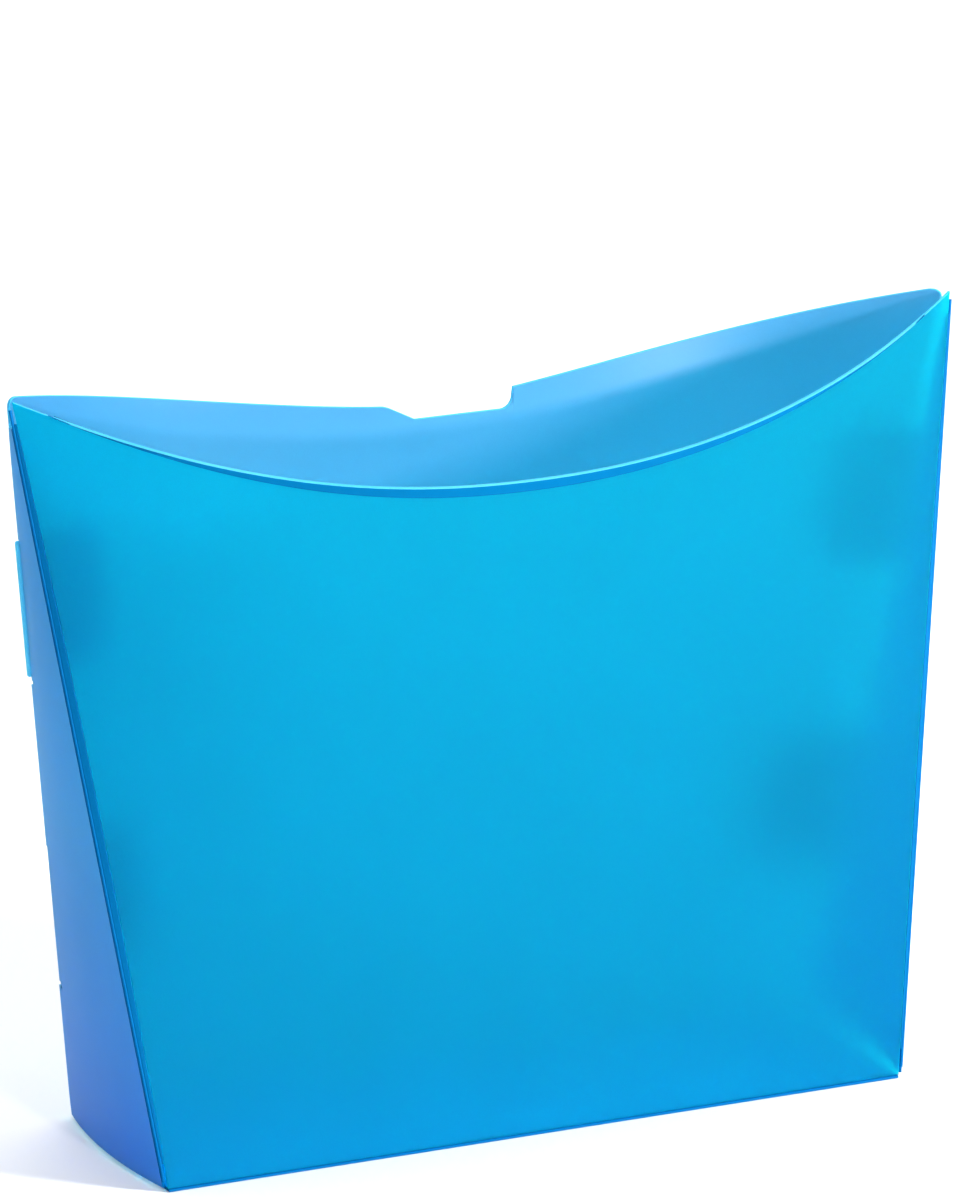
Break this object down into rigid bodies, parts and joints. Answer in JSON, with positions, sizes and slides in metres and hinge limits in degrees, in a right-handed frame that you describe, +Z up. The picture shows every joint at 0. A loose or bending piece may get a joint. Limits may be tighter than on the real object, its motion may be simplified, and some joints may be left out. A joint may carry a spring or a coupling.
{
  "type": "fold-up document file",
  "caption": "Open-topped wedge-shaped document file folded from one creased sheet of frosted blue plastic, with bowed front and back panels and tucked side gussets.",
  "frame": {"origin": "centre of the underside of the base panel", "axes": "+X to the right along the width, +Y to the rear, +Z up; the front panel faces -Y"},
  "size_m": [0.321, 0.0863, 0.2471],
  "materials": {
    "sheet": "frosted translucent polypropylene, fine sand texture",
    "folded_edge": "frosted translucent polypropylene, bent along a score line",
    "crease": "scored living hinge, smooth and slightly lighter than the sheet"
  },
  "bodies": {
    "base": {"base_panel": "sheet", "front_base_crease": "crease", "rear_base_crease": "crease"},
    "front": {"front_panel": "sheet", "rim_lip": "folded_edge", "left_edge_facet": "folded_edge", "right_edge_facet": "folded_edge", "left_side_crease": "crease", "right_side_crease": "crease"},
    "back": {"back_panel": "sheet"},
    "left_side": {"left_gusset": "sheet", "left_upper_tongue_crease": "crease", "left_lower_tongue_crease": "crease"},
    "right_side": {"right_gusset": "sheet", "right_upper_tongue_crease": "crease", "right_lower_tongue_crease": "crease"},
    "left_upper_tongue_leaf": {"left_upper_tongue": "sheet"},
    "left_lower_tongue_leaf": {"left_lower_tongue": "sheet"},
    "right_upper_tongue_leaf": {"right_upper_tongue": "sheet"},
    "right_lower_tongue_leaf": {"right_lower_tongue": "sheet"}
  },
  "joints": [
    {"name": "front_fold", "type": "hinge", "parent": "base", "child": "front", "pos_m": [0, -0.0385, 0.0005], "axis": [1, 0, 0], "range_deg": [0, 85]},
    {"name": "back_fold", "type": "hinge", "parent": "base", "child": "back", "pos_m": [0, 0.0385, 0.0005], "axis": [-1, 0, 0], "range_deg": [0, 85]},
    {"name": "left_gusset_fold", "type": "hinge", "parent": "front", "child": "left_side", "pos_m": [-0.127, -0.0385, 0.0005], "axis": [-0.1326, 0.1485, 0.98], "range_deg": [0, 85]},
    {"name": "right_gusset_fold", "type": "hinge", "parent": "front", "child": "right_side", "pos_m": [0.127, -0.0385, 0.0005], "axis": [-0.1326, -0.1485, -0.98], "range_deg": [0, 85]},
    {"name": "left_upper_tongue_fold", "type": "hinge", "parent": "left_side", "child": "left_upper_tongue_leaf", "pos_m": [-0.12565, 0.0361, 0.0005], "axis": [-0.1326, -0.1485, 0.98], "range_deg": [-85, 0]},
    {"name": "left_lower_tongue_fold", "type": "hinge", "parent": "left_side", "child": "left_lower_tongue_leaf", "pos_m": [-0.12565, 0.0361, 0.0005], "axis": [-0.1326, -0.1485, 0.98], "range_deg": [-85, 0]},
    {"name": "right_upper_tongue_fold", "type": "hinge", "parent": "right_side", "child": "right_upper_tongue_leaf", "pos_m": [0.12565, 0.0361, 0.0005], "axis": [-0.1326, 0.1485, -0.98], "range_deg": [-85, 0]},
    {"name": "right_lower_tongue_fold", "type": "hinge", "parent": "right_side", "child": "right_lower_tongue_leaf", "pos_m": [0.12565, 0.0361, 0.0005], "axis": [-0.1326, 0.1485, -0.98], "range_deg": [-85, 0]}
  ],
  "couplings": [
    {"joint": "left_upper_tongue_fold", "follows": "left_gusset_fold", "ratio": -1},
    {"joint": "left_lower_tongue_fold", "follows": "left_gusset_fold", "ratio": -1},
    {"joint": "right_upper_tongue_fold", "follows": "right_gusset_fold", "ratio": -1},
    {"joint": "right_lower_tongue_fold", "follows": "right_gusset_fold", "ratio": -1}
  ]
}
